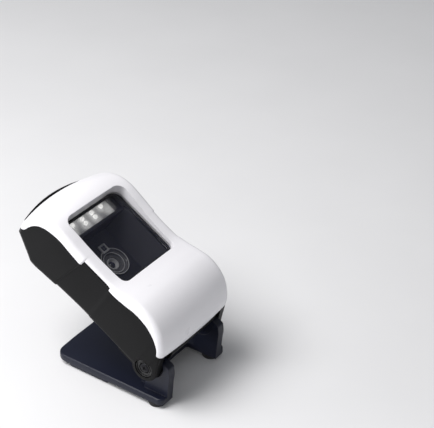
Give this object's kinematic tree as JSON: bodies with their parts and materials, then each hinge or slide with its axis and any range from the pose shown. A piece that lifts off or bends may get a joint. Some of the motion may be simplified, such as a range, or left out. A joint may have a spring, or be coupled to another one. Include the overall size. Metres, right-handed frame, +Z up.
{
  "type": "hands-free barcode scanner",
  "caption": "Desktop presentation barcode scanner: a head with a sunk slanted window and lit camera tilts between the arms of a flat weighted stand.",
  "frame": {"origin": "bottom centre of the bounding box, on the surface the stand rests on", "axes": "+Z up, the window and chin face -Y, +X is the right side seen from behind the window looking along +Y"},
  "size_m": [0.088, 0.14, 0.1331],
  "materials": {
    "white_shell": "moulded white plastic, satin gloss",
    "black_shell": "fine matt moulded texture",
    "stand_plastic": "dark blue-black moulded plastic, satin",
    "rubber": "matt rubber",
    "window_glass": "clear flat pane",
    "hood_black": "matt black",
    "diffuser": "frosted translucent",
    "led": "clear lens, lit",
    "circuit_board": "solder mask",
    "steel": "bare steel",
    "dark_steel": "blackened steel",
    "lens": "coated lens",
    "nylon": "natural nylon",
    "film": "amber film"
  },
  "bodies": {
    "stand": {"stand": "stand_plastic", "base_weight": "steel", "base_cover": "stand_plastic", "cover_screw_1": "dark_steel", "cover_screw_2": "dark_steel", "cover_screw_3": "dark_steel", "cover_screw_4": "dark_steel", "hinge_bush_L": "nylon", "hinge_bush_R": "nylon", "rear_pad_L": "rubber", "rear_pad_R": "rubber", "front_foot_L": "rubber", "front_foot_R": "rubber"},
    "head": {"front_shell": "white_shell", "rear_body": "black_shell", "bottom_panel": "black_shell", "window_glass": "window_glass", "window_gasket": "rubber", "light_hood": "hood_black", "led_diffuser": "diffuser", "led_board": "circuit_board", "camera_holder": "hood_black", "lens_barrel": "hood_black", "lens_glass": "lens", "aimer_housing": "hood_black", "aimer_lens": "lens", "sensor_board": "circuit_board", "decoder_board": "circuit_board", "processor_shield": "steel", "beeper": "hood_black", "cable_socket": "black_shell", "ribbon_cable": "film", "key_switch": "hood_black", "led_1": "led", "led_2": "led", "led_3": "led", "led_4": "led", "led_5": "led", "led_6": "led", "case_screw_1": "dark_steel", "case_screw_2": "dark_steel", "case_screw_3": "dark_steel", "case_screw_4": "dark_steel", "hinge_screw_L": "dark_steel", "hinge_ring_L": "black_shell", "friction_washer_L": "nylon", "hinge_nut_L": "steel", "hinge_screw_R": "dark_steel", "hinge_ring_R": "black_shell", "friction_washer_R": "nylon", "hinge_nut_R": "steel"},
    "key": {"scan_key": "black_shell"}
  },
  "joints": [
    {"name": "head_tilt", "type": "hinge", "parent": "stand", "child": "head", "pos_m": [0, -0.0513, 0.0338], "axis": [1, 0, 0], "range_deg": [-38, 15]},
    {"name": "scan_key", "type": "slide", "parent": "head", "child": "key", "axis": [0, -0.848, -0.5299], "range_m": [0, 0.0012], "stiffness_N_per_m": 1500}
  ]
}
